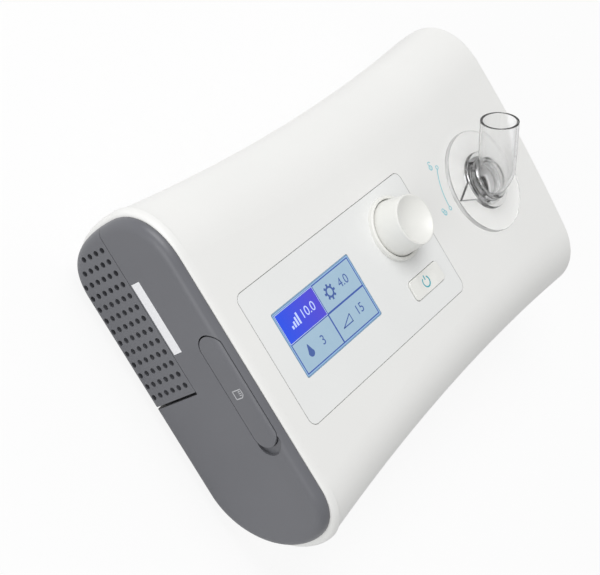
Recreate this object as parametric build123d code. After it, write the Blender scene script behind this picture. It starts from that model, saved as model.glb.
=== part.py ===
from build123d import *
from math import cos, degrees, radians, sin, sqrt
import os

# A bedside breathing-air machine with a slide-out water chamber.
# Millimetres. X runs along the case, +Y to the rear, +Z up. The origin is at the
# bottom centre of the machine, on the surface that its feet stand on.

# ---- case ----
shell_length = 284.5       # white shell, end to end
cap_bulge = 6.0            # how far the grey end cap stands out of the shell
end_depth = 194.3          # depth over both noses at the left end
case_height = 70.5         # case alone, without feet
foot_height = 3.0
wall = 2.5
rear_nose = 35.0           # width of the rounded rear side
front_nose = 29.0
nose_drop = 28.0           # widest level, below the top
nose_fullness = 0.61       # 0.55 is an ellipse, more is squarer
rear_under_nose = 32.0     # the same, for the lower half of each nose
rear_under_fullness = 0.70
front_under_nose = 45.0
front_under_fullness = 0.55
rear_sweep = 1390.0        # plan radius of the waisted rear side
rear_waist_x = 48.0
front_sweep = 1470.0
front_waist_x = 65.0
tray_depth = 11.0          # base tray's own height, up to the parting line
case_stations = 6

# ---- left end cap, rim and filter cover ----
end_round = 5.0            # rounding of the shell towards the cap
rim_rear = 3.0             # what that rounding takes off each side
rim_front = 5.0
rim_top = 1.0
rim_low = 0.5
end_bow = 700.0            # plan radius of the right end
end_crest_y = 40.0         # where the right end reaches farthest
cap_gap = 0.4              # shut line between shell and cap
cap_round = 5.2
cap_wall = 2.5
skirt_reach = 6.0          # cap skirt inside the shell
skirt_wall = 1.6
seat_gap = 0.2
cover_front = -0.3         # front edge of the cover's bay
cover_top = 38.3
cover_pull_gap = 1.4       # finger gap at the cover's front edge
cover_gap = 0.3
grille_hole = 3.0
grille_columns = 13
grille_rows = 7            # the lowest row runs round the cap's lower edge
grille_pitch_y = 6.46
grille_pitch_z = 5.05
grille_first_y = 6.3
grille_top_z = 34.1
grille_margin = 4.0        # least distance from a hole's centre to the cap's outline
clip_places = (12.0, 52.0) # from the bay's front edge
clip_width = 6.0
clip_thickness = 1.4
clip_drop = 1.0            # below the bay's upper wall
clip_reach = 2.5
filter_width = 57.0
filter_height = 26.0
filter_depth = 5.4
filter_frame_wall = 1.5
vent_width = 38.0
vent_height = 20.0
label_length = 40.0
label_height = 6.0
label_thickness = 0.15
label_gap = 0.8            # above the cover's upper seam

# ---- card door, card and socket ----
door_rear = 24.7
door_length = 62.8
door_width = 13.8
door_z = 63.9
door_wall = 2.2
door_gap = 0.3
door_tail_gap = 0.8
door_tail = 9.7            # from hinge axis to the door's rear end
door_axis_in = 3.5         # hinge axis below the cap's face
door_pin_r = 0.6
door_knuckle_r = 1.25
scoop_shift = 4.6          # finger scoop beyond the door's front end
scoop_depth = 2.0
card_width = 24.0
card_length = 32.0
card_thickness = 2.1
card_setback = 7.2         # card's outer edge behind the cap's face
card_y = -8.0
socket_wall = 1.2
slot_gap = 0.3

# ---- control panel ----
panel_setback = 92.6       # from the shell's left end to the panel's middle
panel_y = -5.05
panel_width = 153.7
panel_depth = 75.4
panel_corner = 5.0
panel_thickness = 1.2
panel_gap = 0.35
window_shift_x = -27.2     # from the panel's middle
window_shift_y = 1.1
window_width = 69.8
window_depth = 36.5
window_thickness = 1.1
window_ledge = 2.0
window_gap = 0.15
screen_border = 3.0
module_thickness = 5.5
knob_shift_x = 49.65       # from the panel's middle
knob_shift_y = 13.85
knob_base_r = 15.8
knob_top_r = 14.1
knob_height = 16.8         # above the panel, at rest
knob_travel = 1.0
knob_lift = 1.5            # free height under the knob
knob_dish = 4.5
knob_rim = 0.9
knob_skirt = 2.4           # wall round the knob's hollow underside
knob_hollow = 5.0
collar_r = 18.3
collar_height = 2.4
collar_gap = 0.5
shaft_r = 3.0
shaft_gap = 0.05
shaft_hole_gap = 1.2
encoder_side = 12.5
encoder_height = 7.0
button_shift_x = 51.3      # from the panel's middle
button_shift_y = -19.9
button_width = 29.5
button_depth = 11.5
button_corner = 2.5
button_proud = 0.9
button_travel = 0.8
button_gap = 0.3
button_flange = 1.4
button_dish_r = 60.0
button_dish = 0.5
switch_side = 6.2
switch_height = 3.4
switch_plunger_r = 1.7

# ---- boards ----
board_z = 58.0             # underside of the main board
board_thickness = 1.6
board_setback = 10.25      # from the shell's left end
board_past_knob = 23.0
board_post_gap = 2.0       # to the case screws' posts
board_boss_in = 5.0        # bosses, from the board's edges
board_boss_shift = 25.0    # rear left boss, clear of the card door
boss_r = 3.6
board_screw_r = 1.3
board_screw_grip = 6.0
board_screw_head_r = 2.5
board_screw_head = 1.8
chips = {                  # from the board's left and front edges, then width, depth, height
    "driver": (45.0, 16.0, 12.0, 8.0, 2.6),
    "controller": (69.0, 16.0, 14.0, 14.0, 1.4),
    "memory": (93.0, 14.0, 10.0, 8.0, 2.0),
    "card reader": (17.0, 45.0, 9.0, 9.0, 4.5),
}
power_parts = {            # the same, but from the bulkhead and the board's front edge
    "coil": (-28.0, 14.0, 12.0, 9.0, 6.0),
    "socket": (-24.0, 40.0, 8.0, 16.0, 5.0),
}
can_places = (115.0, 127.0)
can_in = 6.0
can_r = 4.0
can_height = 9.0

# ---- air outlet and elbow ----
outlet_setback = 54.7      # from the case's right end
outlet_y = -2.75
disc_r = 30.4
disc_thickness = 2.2
disc_gap = 0.3
tube_r = 11.0              # 22 mm taper-fit connector
tube_fit_length = 20.0     # how far a hose's cuff goes on
tube_relief = 0.25         # the tube is this much slimmer below the cuff
tube_bore_r = 9.6
tube_rise = 11.45          # height of the bend's corner above the top
tube_length = 34.2
tube_tilt = 37.3           # degrees above the horizontal
bend_r = 13.0
neck_r = 13.0
neck_height = 5.5
neck_round = 1.4
elbow_collar_r = 17.0
elbow_collar_height = 2.0
pointer_base = 11.0
pointer_height = 1.6
spigot_r = 11.6
spigot_bore_r = 10.0
spigot_depth = 14.0
lug_reach = 2.4
lug_angle = 24.0
lug_height = 2.0
lug_depth = 8.0            # from the disc down to the lugs
lug_count = 3
lock_turn = 38.4           # from locked to unlocked
port_wall = 3.0
port_gap = 0.6
ledge_gap = 0.3
ledge_height = 2.0
lug_play = 3.5             # angle kept free beside each lug
seal_height = 4.0
port_floor = 2.0
outlet_clear = 0.3

# ---- water chamber drawer ----
chamber_length = 88.0
chamber_setback = 13.25    # from the case's right end
chamber_front_y = -46.0
chamber_rear_y = 42.0
chamber_wall = 2.0
chamber_corner = 8.0
chamber_z = 11.8
chamber_height = 38.2
chamber_step = 1.5         # chamber floor above the runner edges
runner_gap = 0.3
runner_width = 4.0
rail_short = 2.0           # from the drawer's front to the rails' ends
pan_r = 37.0
pan_thickness = 1.5
lid_thickness = 2.2
lid_plug = 3.0
lid_plug_gap = 0.4
seal_bead = 1.2
boss_hole_r = 11.0
boss_wall = 3.0
front_thickness = 2.5
front_recess = 0.6
front_gap = 0.4
grip_width = 48.0
grip_height = 24.0
grip_depth = 9.5
grip_wall = 1.6
grip_z = 30.0
heater_r = 33.0
heater_thickness = 3.0
insulator_thickness = 3.0
arm_thickness = 3.0        # arms that tie the drawer's front to the chamber
arm_in = 1.0
bulkhead_gap = 6.0         # from the bulkhead's face to the chamber
bulkhead_wall = 2.0
bulkhead_over = 8.0        # how far it rises above the nozzle

# ---- blower ----
blower_setback = 58.0      # from the bulkhead to the blower's axis
blower_y = -2.0
volute_r = 36.0
volute_wall = 2.0
volute_z = 19.0
volute_height = 29.0
nozzle_y = 22.0
nozzle_z = 38.0
nozzle_r = 9.0
nozzle_bore_r = 7.5
nozzle_setback = 14.0      # from the bulkhead to the nozzle's end
eye_r = 10.0
motor_r = 15.0
motor_height = 13.0
motor_shaft_r = 1.5
bearing_r = 4.0
bearing_height = 3.0
impeller_r = 29.0
impeller_height = 6.0
impeller_plate = 1.2
impeller_hub_r = 6.0
impeller_blades = 11
blade_thickness = 1.0
running_gap = 0.8
mount_count = 4
mount_ring_r = 27.0
mount_r = 4.0
mount_post = 8.0
duct_wall = 1.9
duct_fit = 0.1
duct_sleeve = 8.0
gasket_thickness = 1.5
gasket_r = 12.0
hole_gap = 0.3

# ---- intake ----
silencer_gap = 3.25        # to the blower
silencer_front = -4.0
silencer_rear = 48.0
silencer_wall = 1.6
foam_length = 34.0
foam_hole_r = 5.0
foam_hole_pitch = 16.0
intake_width = 36.0
intake_height = 8.5
intake_wall = 1.4
intake_hole_in = 16.75     # from the silencer's right end
intake_shift_y = 6.0       # intake hole behind the blower's axis
intake_overhang = 16.0

# ---- power inlet ----
jack_shift = 30.0          # to the left of the blower's axis
jack_z = 25.5
jack_bore_r = 2.75
jack_pin_r = 1.05
jack_depth = 9.0
jack_barrel_r = 4.6
jack_body = 12.0
jack_pocket_r = 7.5
jack_face_in = 11.94       # jack's face behind the case's widest line
jack_length = 15.0

# ---- feet and screws ----
foot_r = 7.5
foot_recess = 0.6
foot_land = 0.5            # from a foot's edge to the end of the flat bottom
left_foot_in = 41.25       # from the shell's left end
right_foot_in = 33.25      # from the case's right end
screw_r = 1.5
screw_head_r = 2.9
screw_head = 2.2
screw_sink = 3.4           # head below the case's underside
screw_grip = 18.0          # into the top shell's posts
screw_gap = 0.1
left_screw_in = 21.25
right_screw_in = 10.25
middle_screw_in = 8.0      # from the bulkhead
front_screw_in = 34.5      # from the widest line
rear_screw_in = 38.5
post_r = 4.0
tray_post_extra = 0.6

# ---- worked out from the above ----
overall = shell_length + cap_bulge
left_face = -overall / 2
right_end = overall / 2
shell_left = left_face + cap_bulge
top_z = foot_height + case_height
floor_z = foot_height + wall
ceiling_z = top_z - wall
nose_z = top_z - nose_drop
parting_z = foot_height + tray_depth
board_top = board_z + board_thickness
cap_back = shell_left - cap_gap
bay_back = shell_left + 3.0
panel_x = shell_left + panel_setback
window_x = panel_x + window_shift_x
window_y = panel_y + window_shift_y
knob_x = panel_x + knob_shift_x
knob_y = panel_y + knob_shift_y
button_x = panel_x + button_shift_x
button_y = panel_y + button_shift_y
outlet_x = right_end - outlet_setback
chamber_right = right_end - chamber_setback
chamber_left = chamber_right - chamber_length
bulkhead_x = chamber_left - bulkhead_gap
blower_x = bulkhead_x - blower_setback
nozzle_end_x = bulkhead_x - nozzle_setback
silencer_left = bay_back + wall + 0.5
silencer_right = blower_x - volute_r - silencer_gap
intake_hole_x = silencer_right - intake_hole_in
intake_y = blower_y + intake_shift_y
jack_x = blower_x - jack_shift
board_left = shell_left + board_setback
board_right = knob_x + board_past_knob


# ---- the case's widest line ----
def sag(radius, offset):
    return radius - sqrt(radius**2 - offset**2)


def rear_reach(x):
    drop = sag(rear_sweep, shell_left - rear_waist_x) - sag(rear_sweep, x - rear_waist_x)
    return end_depth / 2 - drop


def front_reach(x):
    drop = sag(front_sweep, shell_left - front_waist_x) - sag(front_sweep, x - front_waist_x)
    return end_depth / 2 - drop


def end_face_x(y):
    return right_end - sag(end_bow, y - end_crest_y)


def screw_pair(x):
    return [(x, -front_reach(x) + front_screw_in), (x, rear_reach(x) - rear_screw_in)]


def foot_pair(x):
    edge = foot_r + foot_land
    return [(x, -front_reach(x) + front_under_nose + edge), (x, rear_reach(x) - rear_under_nose - edge)]


middle_screws = screw_pair(bulkhead_x - middle_screw_in)
side_room = post_r + tray_post_extra + 0.9     # from the chamber's side to a screw's axis
side_lines = (chamber_front_y - side_room, chamber_rear_y + side_room)
chamber_screws = [(end_face_x(y) - right_screw_in, y) for y in side_lines]
screw_spots = screw_pair(shell_left + left_screw_in) + middle_screws + chamber_screws
foot_spots = foot_pair(shell_left + left_foot_in) + foot_pair(right_end - right_foot_in)
board_front = middle_screws[0][1] + post_r + board_post_gap
board_rear = middle_screws[1][1] - post_r - board_post_gap
board_spots = [(board_left + board_boss_in, board_front + board_boss_in),
               (board_right - board_boss_in, board_front + board_boss_in),
               (board_right - board_boss_in, board_rear - board_boss_in),
               (board_left + board_boss_shift, board_rear - board_boss_in)]
jack_face_y = rear_reach(jack_x) - jack_face_in


# ---- small shapes ----
def block(x0, x1, y0, y1, z0, z1):
    corner = (Align.MIN, Align.MIN, Align.MIN)
    return Pos(x0, y0, z0) * Box(x1 - x0, y1 - y0, z1 - z0, align=corner)


def post(x, y, radius, z0, z1):
    seat = (Align.CENTER, Align.CENTER, Align.MIN)
    return Pos(x, y, z0) * Cylinder(radius, z1 - z0, align=seat)


def rod_x(y, z, radius, x0, x1):
    seat = (Align.CENTER, Align.CENTER, Align.MIN)
    return Pos(x0, y, z) * Rot(0, 90, 0) * Cylinder(radius, x1 - x0, align=seat)


def rod_y(x, z, radius, y0, y1):
    seat = (Align.CENTER, Align.CENTER, Align.MIN)
    return Pos(x, y0, z) * Rot(-90, 0, 0) * Cylinder(radius, y1 - y0, align=seat)


def tile(x, y, width, depth, corner, z0, z1):
    return Pos(x, y, z0) * extrude(RectangleRounded(width, depth, corner), z1 - z0)


def plate_x(y0, y1, z0, z1, corner, x0, x1):
    """A rounded plate that faces along X."""
    middle = Pos(x0, (y0 + y1) / 2, (z0 + z1) / 2) * Rot(0, 90, 0)
    return extrude(middle * RectangleRounded(z1 - z0, y1 - y0, corner), x1 - x0, dir=(1, 0, 0))


def sector(x, y, inner, outer, from_angle, to_angle, z0, z1):
    """Part of a ring between two angles, in degrees from +X."""
    middle = (from_angle + to_angle) / 2
    half = (to_angle - from_angle) / 2
    far = outer * 2
    steps = 6
    rim = [(far * cos(radians(a)), far * sin(radians(a)))
           for a in [middle - half + 2 * half * i / steps for i in range(steps + 1)]]
    wedge = Pos(x, y, z0) * extrude(Polygon((0, 0), *rim, align=None), z1 - z0)
    return (post(x, y, outer, z0, z1) - post(x, y, inner, z0, z1)) & wedge


def save(name, shape):
    export_step(shape, f"parts/{name}.step")
    solids = shape.solids()
    print(name, len(solids), round(sum(s.volume for s in solids)))


# ---- the case's outline ----
def section(x, place, rear_in, front_in, top_in, low_in):
    """The outline across the case at x, drawn in by four amounts, set down at place."""
    rear_tip = rear_reach(x) - rear_in
    front_tip = -front_reach(x) + front_in
    top = top_z - top_in
    low = foot_height + low_in

    def nose(flat, tip, level, fullness):
        points = [(flat, level), (flat + (tip - flat) * fullness, level),
                  (tip, nose_z + (level - nose_z) * fullness), (tip, nose_z)]
        return [Vector(place, y, z) for y, z in points]

    rear_up = nose(rear_reach(x) - rear_nose, rear_tip, top, nose_fullness)
    rear_down = nose(rear_reach(x) - rear_under_nose, rear_tip, low, rear_under_fullness)
    front_down = nose(-front_reach(x) + front_under_nose, front_tip, low, front_under_fullness)
    front_up = nose(-front_reach(x) + front_nose, front_tip, top, nose_fullness)
    return Wire([
        Edge.make_line(front_up[0], rear_up[0]),
        Edge.make_bezier(*rear_up),
        Edge.make_bezier(*rear_down[::-1]),
        Edge.make_line(rear_down[0], front_down[0]),
        Edge.make_bezier(*front_down),
        Edge.make_bezier(*front_up[::-1]),
    ])


def even_section(x, inset):
    return section(x, x, inset, inset, inset, inset)


def rim_section(place, extra, share=1.0):
    """The cap's outline, or a share of the way to it, drawn in by a further amount."""
    return section(shell_left, place, rim_rear * share + extra, rim_front * share + extra,
                   rim_top * share + extra, rim_low * share + extra)


def case_form(inset, x0, x1):
    steps = [x0 + (x1 - x0) * i / (case_stations - 1) for i in range(case_stations)]
    return Solid.make_loft([even_section(x, inset) for x in steps])


def rim_band(extra, x0, x1):
    return Solid.extrude(Face(rim_section(x0, extra)), Vector(x1 - x0, 0, 0))


def rounded_end():
    """The last stretch of the shell, which draws in towards the cap."""
    angles = [0, 30, 60, 90]
    rings = []
    for a in angles:
        place = shell_left + end_round * (1 - sin(radians(a)))
        rings.append(rim_section(place, 0, 1 - cos(radians(a))))
    return Solid.make_loft(rings)


def end_form(inset):
    """Upright drum whose side is the bowed right end, drawn in by inset."""
    return post(right_end - end_bow, end_crest_y, end_bow - inset, -far, far)


def case_outer():
    main = case_form(0, shell_left + end_round, right_end + 1)
    return (Part() + main + rounded_end()) & end_form(0)


def case_inner():
    main = case_form(wall, shell_left + end_round, right_end + 2)
    return Part() + main + rim_band(wall, shell_left - 1, shell_left + end_round)


far = overall
outer_form = case_outer()
inner_form = case_inner()
above_parting = block(-far, far, -far, far, parting_z, 2 * far)
below_parting = block(-far, far, -far, far, -far, parting_z)


# ---- top shell ----
def top_shell():
    shell = (outer_form - inner_form) & above_parting
    for x, y in screw_spots:
        shell += post(x, y, post_r, parting_z, ceiling_z)
    for x, y in board_spots:
        shell += post(x, y, boss_r, board_top, ceiling_z)
    shell += rod_y(jack_x, jack_z, jack_pocket_r + wall, jack_face_y - wall, far) & outer_form
    for x, y in screw_spots:
        shell -= post(x, y, screw_r + screw_gap / 2, parting_z, parting_z + screw_grip + 4)
    for x, y in board_spots:
        shell -= post(x, y, board_screw_r, board_top, board_top + board_screw_grip + 1)
    # control panel recess, with the openings under it
    shell -= tile(panel_x, panel_y, panel_width, panel_depth, panel_corner,
                  top_z - panel_thickness, top_z + 1)
    shell -= tile(window_x, window_y, window_width - 2 * window_ledge, window_depth - 2 * window_ledge,
                  1.0, ceiling_z - 1, top_z)
    shell -= post(knob_x, knob_y, shaft_r + shaft_hole_gap, ceiling_z - 1, top_z)
    shell -= tile(button_x, button_y, button_width + 2 * button_gap, button_depth + 2 * button_gap,
                  button_corner + button_gap, ceiling_z - 1, top_z)
    shell -= door_room()
    # air outlet
    shell -= post(outlet_x, outlet_y, port_inner_r(), ceiling_z - 1, top_z + 1)
    # power inlet pocket
    shell -= rod_y(jack_x, jack_z, jack_pocket_r, jack_face_y, far)
    shell -= rod_y(jack_x, jack_z, jack_barrel_r + hole_gap, jack_face_y - wall - 1, jack_face_y + 1)
    return shell


# ---- base tray ----
def screw_head_z():
    return foot_height + screw_sink + screw_head


def base_tray():
    tray = (outer_form - inner_form) & below_parting
    for x, y in screw_spots:
        tray += post(x, y, post_r + tray_post_extra, foot_height, parting_z) & outer_form
    for x, y in mount_spots():
        tray += post(x, y, mount_r + 1.0, floor_z - 1, floor_z + mount_post)
    rail_top = chamber_z - runner_gap
    rail_start = chamber_left + 2
    front_depth = front_recess + front_thickness
    for y in (chamber_front_y, chamber_rear_y - runner_width):
        rail_end = end_face_x(y) - front_depth - rail_short
        tray += block(rail_start, rail_end, y, y + runner_width, floor_z - 1, rail_top) & outer_form
    # wall between the dry side and the water chamber
    wall_top = nozzle_z + nozzle_r + bulkhead_over
    tray += block(bulkhead_x, bulkhead_x + bulkhead_wall, chamber_front_y, chamber_rear_y,
                  floor_z - 1, wall_top) & outer_form
    tray -= rod_x(nozzle_y, nozzle_z, duct_outer_r() + hole_gap,
                  bulkhead_x - 1, bulkhead_x + bulkhead_wall + 1)
    for x, y in screw_spots:
        tray -= post(x, y, screw_r + screw_gap, foot_height - 1, parting_z + 1)
        tray -= post(x, y, screw_head_r + screw_gap, foot_height - 1, screw_head_z())
    for x, y in foot_spots:
        tray -= post(x, y, foot_r, foot_height - 1, foot_height + foot_recess)
    return tray


def rubber_feet():
    feet = []
    for x, y in foot_spots:
        foot = post(x, y, foot_r, 0, foot_height + foot_recess)
        foot = fillet(foot.edges().filter_by(GeomType.CIRCLE).sort_by(Axis.Z)[0], 0.8)
        foot -= post(x, y, foot_r / 2, -1, 0.6)
        feet.append(foot)
    return Compound(children=[f.solid() for f in feet])


def case_screws():
    screws = []
    for x, y in screw_spots:
        screw = post(x, y, screw_head_r, screw_head_z() - screw_head, screw_head_z())
        screw += post(x, y, screw_r, screw_head_z(), parting_z + screw_grip)
        screw -= cross_recess(x, y, screw_head_z() - screw_head, 1.2)
        screws.append(screw.solid())
    return Compound(children=screws)


def cross_recess(x, y, z, depth):
    long, thin = 3.0, 0.8
    slot = block(x - long / 2, x + long / 2, y - thin / 2, y + thin / 2, z - 1, z + depth)
    return slot + block(x - thin / 2, x + thin / 2, y - long / 2, y + long / 2, z - 1, z + depth)


# ---- left end cap and filter cover ----
def cap_outer():
    form = Part() + rim_band(0, left_face, cap_back)
    return fillet(form.faces().sort_by(Axis.X)[0].edges(), cap_round)


def cap_inner():
    form = Part() + rim_band(cap_wall, left_face + cap_wall, cap_back + 1)
    return fillet(form.faces().sort_by(Axis.X)[0].edges(), cap_round - cap_wall)


cap_form = cap_outer()
cap_hollow = cap_inner()
cover_bay = block(-far, far, cover_front, far, -far, cover_top)
skirt_front = wall + seat_gap


def label_box():
    y0 = grille_first_y + 16
    z0 = cover_top + label_gap
    return block(left_face, left_face + label_thickness, y0, y0 + label_length, z0, z0 + label_height)


def door_outline(gap, rear_gap):
    """A prism along X with the door's rounded outline."""
    radius = door_width / 2 + gap
    rear = door_rear + rear_gap - radius
    front = door_rear - door_length - gap + radius
    deep = left_face + door_axis_in + door_knuckle_r + hole_gap
    middle = block(left_face - 1, deep, front, rear, door_z - radius, door_z + radius)
    ends = [rod_x(y, door_z, radius, left_face - 1, deep) for y in (front, rear)]
    return middle + ends[0] + ends[1]


def door_axis():
    return (left_face + door_axis_in, door_rear - door_tail)


def door_side():
    """Half the width of the door's opening."""
    return door_width / 2 + door_gap


def door_room():
    """Space behind the cap's wall that the door's short end swings into."""
    axis_x, axis_y = door_axis()
    reach = sqrt(door_tail**2 + door_axis_in**2) + door_gap
    swing = post(axis_x, axis_y, reach, door_z - door_side(), door_z + door_side())
    return swing & block(left_face + cap_wall, far, axis_y - 2, far, 0, far)


def left_end_cap():
    skirt = Part() + rim_band(cap_wall - 0.5, left_face + cap_wall, cap_back)
    skirt += rim_band(skirt_front, cap_back, shell_left + skirt_reach)
    skirt_core = Part() + rim_band(skirt_front + skirt_wall, left_face + cap_wall,
                                   shell_left + skirt_reach + 1)
    inside = Part() + rim_band(skirt_front + skirt_wall / 2, left_face + 1, shell_left + skirt_reach)
    cap = (cap_form - cap_hollow) + (skirt - skirt_core)
    cap -= cover_bay
    # walls that close the filter's bay
    shelf = block(left_face + 1, bay_back + wall, cover_front - cap_wall, far,
                  cover_top, cover_top + skirt_wall)
    divider = block(left_face + 1, bay_back + wall, cover_front - skirt_wall, cover_front,
                    -far, cover_top + skirt_wall)
    back = block(bay_back, bay_back + wall, cover_front - skirt_wall, far, -far, cover_top + skirt_wall)
    cap += (shelf + divider) & cap_form
    cap += (shelf + divider + back) & inside & block(cap_back - 0.1, far, -far, far, -far, far)
    vent_y, vent_z = filter_centre()
    cap -= plate_x(vent_y - vent_width / 2, vent_y + vent_width / 2, vent_z - vent_height / 2,
                   vent_z + vent_height / 2, 2.0, bay_back - 1, bay_back + wall + 1)
    # card door opening, hinge ears, finger scoop and the card's bezel
    axis_x, axis_y = door_axis()
    ears = block(axis_x - 1.4, axis_x + 1.6, axis_y - 2, axis_y + 2, *pin_span(0.6)) & cap_form
    cap += ears
    cap -= door_outline(door_gap, door_tail_gap)
    cap -= door_room()
    cap -= sd_door_pin()
    scoop_y = door_rear - door_length + door_width / 2 - scoop_shift
    scoop_form = rod_x(scoop_y, door_z, door_width / 2, left_face - 1, left_face + scoop_depth)
    cap -= scoop_form
    scoop_floor = rod_x(scoop_y, door_z, door_width / 2 + 1,
                        left_face + scoop_depth, left_face + scoop_depth + 1)
    cap += (scoop_floor & cap_form) - door_outline(door_gap, door_tail_gap)
    bezel_x = left_face + card_setback + 0.6
    bezel = block(bezel_x, bezel_x + 1.6, card_y - card_width / 2 - 8, card_y + card_width / 2 + 8,
                  board_top - 3, far)
    cap += bezel & inside & block(cap_back - 0.1, far, -far, far, -far, far)
    cap -= card_box(slot_gap)
    cap -= label_box()
    return cap


def filter_centre():
    y = cover_front + cover_pull_gap + 2.5 + filter_width / 2
    return y, floor_z + 3.6 + filter_height / 2


def grille_drill(y, z):
    """A drill square to the cap's face; below the face it follows the rounded edge."""
    turn_x = left_face + cap_round
    turn_z = foot_height + rim_low + cap_round
    turn = max(turn_z - z, 0) / cap_round
    drill = rod_x(0, 0, grille_hole / 2, -cap_round - 1, cap_wall + 1 - cap_round)
    return Pos(turn_x, y, max(z, turn_z)) * Rot(0, -degrees(turn), 0) * drill


def filter_cover():
    bay = block(-far, far, cover_front + cover_pull_gap, far, -far, cover_top - cover_gap)
    cover = (cap_form - cap_hollow) & bay
    limit = Part() + rim_band(grille_margin, left_face - 1, 0)
    flat_end = rear_reach(shell_left) - rear_under_nose
    for i in range(grille_columns):
        y = grille_first_y + i * grille_pitch_y
        for j in range(grille_rows):
            z = grille_top_z - j * grille_pitch_z
            round_edge = z < foot_height + rim_low + grille_margin
            if limit.is_inside(Vector(left_face, y, z)) or (round_edge and y < flat_end):
                cover -= grille_drill(y, z)
    # two clips that hold the cover in its bay
    clip_top = cover_top - clip_drop
    for place in clip_places:
        y = cover_front + place
        cover += block(left_face + 1, cap_back + clip_reach, y, y + clip_width,
                       clip_top - clip_thickness, clip_top)
    return cover


def filter_frame():
    y, z = filter_centre()
    x0 = left_face + cap_wall
    half_y, half_z = filter_width / 2, filter_height / 2
    frame = plate_x(y - half_y, y + half_y, z - half_z, z + half_z, 2.5, x0, x0 + filter_depth)
    inner_y, inner_z = half_y - filter_frame_wall, half_z - filter_frame_wall
    hole = plate_x(y - inner_y, y + inner_y, z - inner_z, z + inner_z, 1.2, x0 - 1, x0 + filter_depth + 1)
    return frame - hole


def air_filter():
    y, z = filter_centre()
    x0 = left_face + cap_wall
    half_y = filter_width / 2 - filter_frame_wall
    half_z = filter_height / 2 - filter_frame_wall
    return plate_x(y - half_y, y + half_y, z - half_z, z + half_z, 1.2, x0 + 0.3, x0 + filter_depth - 0.4)


def label_strip():
    return label_box()


# ---- card door, card, socket ----
def sd_door():
    slab = block(left_face - 1, left_face + door_wall, -far, far, 0, far)
    door = cap_form & slab & door_outline(0, 0)
    axis_x, axis_y = door_axis()
    low, high = door_z - door_side() + 2, door_z + door_side() - 2
    knuckle = post(axis_x, axis_y, door_knuckle_r, low, high)
    web = block(left_face + 1.5, axis_x, axis_y - door_knuckle_r, axis_y + door_knuckle_r, low, high)
    return door + knuckle + web - post(axis_x, axis_y, door_pin_r + shaft_gap, 0, far)


def pin_span(extra):
    """The hinge pin's ends in Z, or a little beyond them."""
    return door_z - door_side() - 1.4 - extra, door_z + door_side() + 0.6 + extra


def sd_door_pin():
    return post(*door_axis(), door_pin_r, *pin_span(0))


def card_z():
    return board_top + socket_wall + card_thickness / 2


def card_box(gap):
    x0 = left_face + card_setback
    half = card_width / 2 + gap
    z0 = card_z() - card_thickness / 2 - gap
    return block(x0 - (2 if gap else 0), x0 + card_length, card_y - half, card_y + half,
                 z0, z0 + card_thickness + 2 * gap)


def sd_card():
    card = card_box(0)
    notch = 4.0
    x1 = left_face + card_setback + card_length
    y1 = card_y + card_width / 2
    cut = Pos(x1, y1, 0) * Rot(0, 0, 45) * block(-notch, notch, -notch, notch, 0, far)
    return card - cut


def sd_socket():
    x0 = board_left + 0.5
    x1 = left_face + card_setback + card_length + 3.0
    half = card_width / 2 + socket_wall + slot_gap
    roof = card_z() + card_thickness / 2 + socket_wall + 0.3
    body = block(x0, x1, card_y - half, card_y + half, board_top, roof)
    room = block(x0 - 1, x1 - 1.5, card_y - half + socket_wall, card_y + half - socket_wall,
                 card_z() - card_thickness / 2 - 0.1, card_z() + card_thickness / 2 + 0.2)
    return body - room


# ---- control panel ----
def display_panel():
    panel = tile(panel_x, panel_y, panel_width - 2 * panel_gap, panel_depth - 2 * panel_gap,
                 panel_corner - panel_gap, top_z - panel_thickness, top_z)
    panel -= tile(window_x, window_y, window_width + 2 * window_gap, window_depth + 2 * window_gap,
                  1.2, 0, far)
    panel -= post(knob_x, knob_y, shaft_r + shaft_hole_gap, 0, far)
    panel -= tile(button_x, button_y, button_width + 2 * button_gap, button_depth + 2 * button_gap,
                  button_corner + button_gap, 0, far)
    return panel


def lcd_window():
    z0 = top_z - panel_thickness
    return tile(window_x, window_y, window_width, window_depth, 1.0, z0, z0 + window_thickness)


def lcd_module():
    width = window_width + 2 * screen_border
    depth = window_depth + 2 * screen_border
    return block(window_x - width / 2, window_x + width / 2, window_y - depth / 2, window_y + depth / 2,
                 ceiling_z - module_thickness, ceiling_z)


def lcd_posts():
    """Legs that carry the display module on the main board."""
    reach_x = window_width / 2 - 9
    reach_y = window_depth / 2 - 2
    leg_top = ceiling_z - module_thickness
    legs = [post(window_x + sx * reach_x, window_y + sy * reach_y, 2.0, board_top, leg_top)
            for sx in (-1, 1) for sy in (-1, 1)]
    return Compound(children=[leg.solid() for leg in legs])


def knob():
    x, y = knob_x, knob_y
    z0 = top_z + knob_lift
    z1 = top_z + knob_height
    seat = (Align.CENTER, Align.CENTER, Align.MIN)
    body = Pos(x, y, z0) * Cone(knob_base_r, knob_top_r, z1 - z0, align=seat)
    top_edge = body.edges().filter_by(GeomType.CIRCLE).sort_by(Axis.Z)[-1]
    body = fillet(top_edge, knob_rim / 2)
    dish_r = knob_top_r - knob_rim
    ball_r = (dish_r**2 + knob_dish**2) / (2 * knob_dish)
    body -= Pos(x, y, z1 - knob_dish + ball_r) * Sphere(ball_r)
    body -= post(x, y, shaft_r, z0 - 1, encoder_shaft_top())
    hollow = post(x, y, knob_base_r - knob_skirt, z0 - 1, z0 + knob_hollow)
    return body - (hollow - post(x, y, shaft_r + 2, z0 - 1, z0 + knob_hollow))


def knob_collar():
    x, y = knob_x, knob_y
    ring = post(x, y, collar_r, top_z, top_z + collar_height)
    ring -= post(x, y, knob_base_r + collar_gap, top_z - 1, top_z + collar_height + 1)
    rims = ring.edges().filter_by(GeomType.CIRCLE).group_by(Axis.Z)[-1]
    return fillet(rims, 0.7)


def encoder_shaft_top():
    return top_z + knob_height - knob_dish - 2.0


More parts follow.
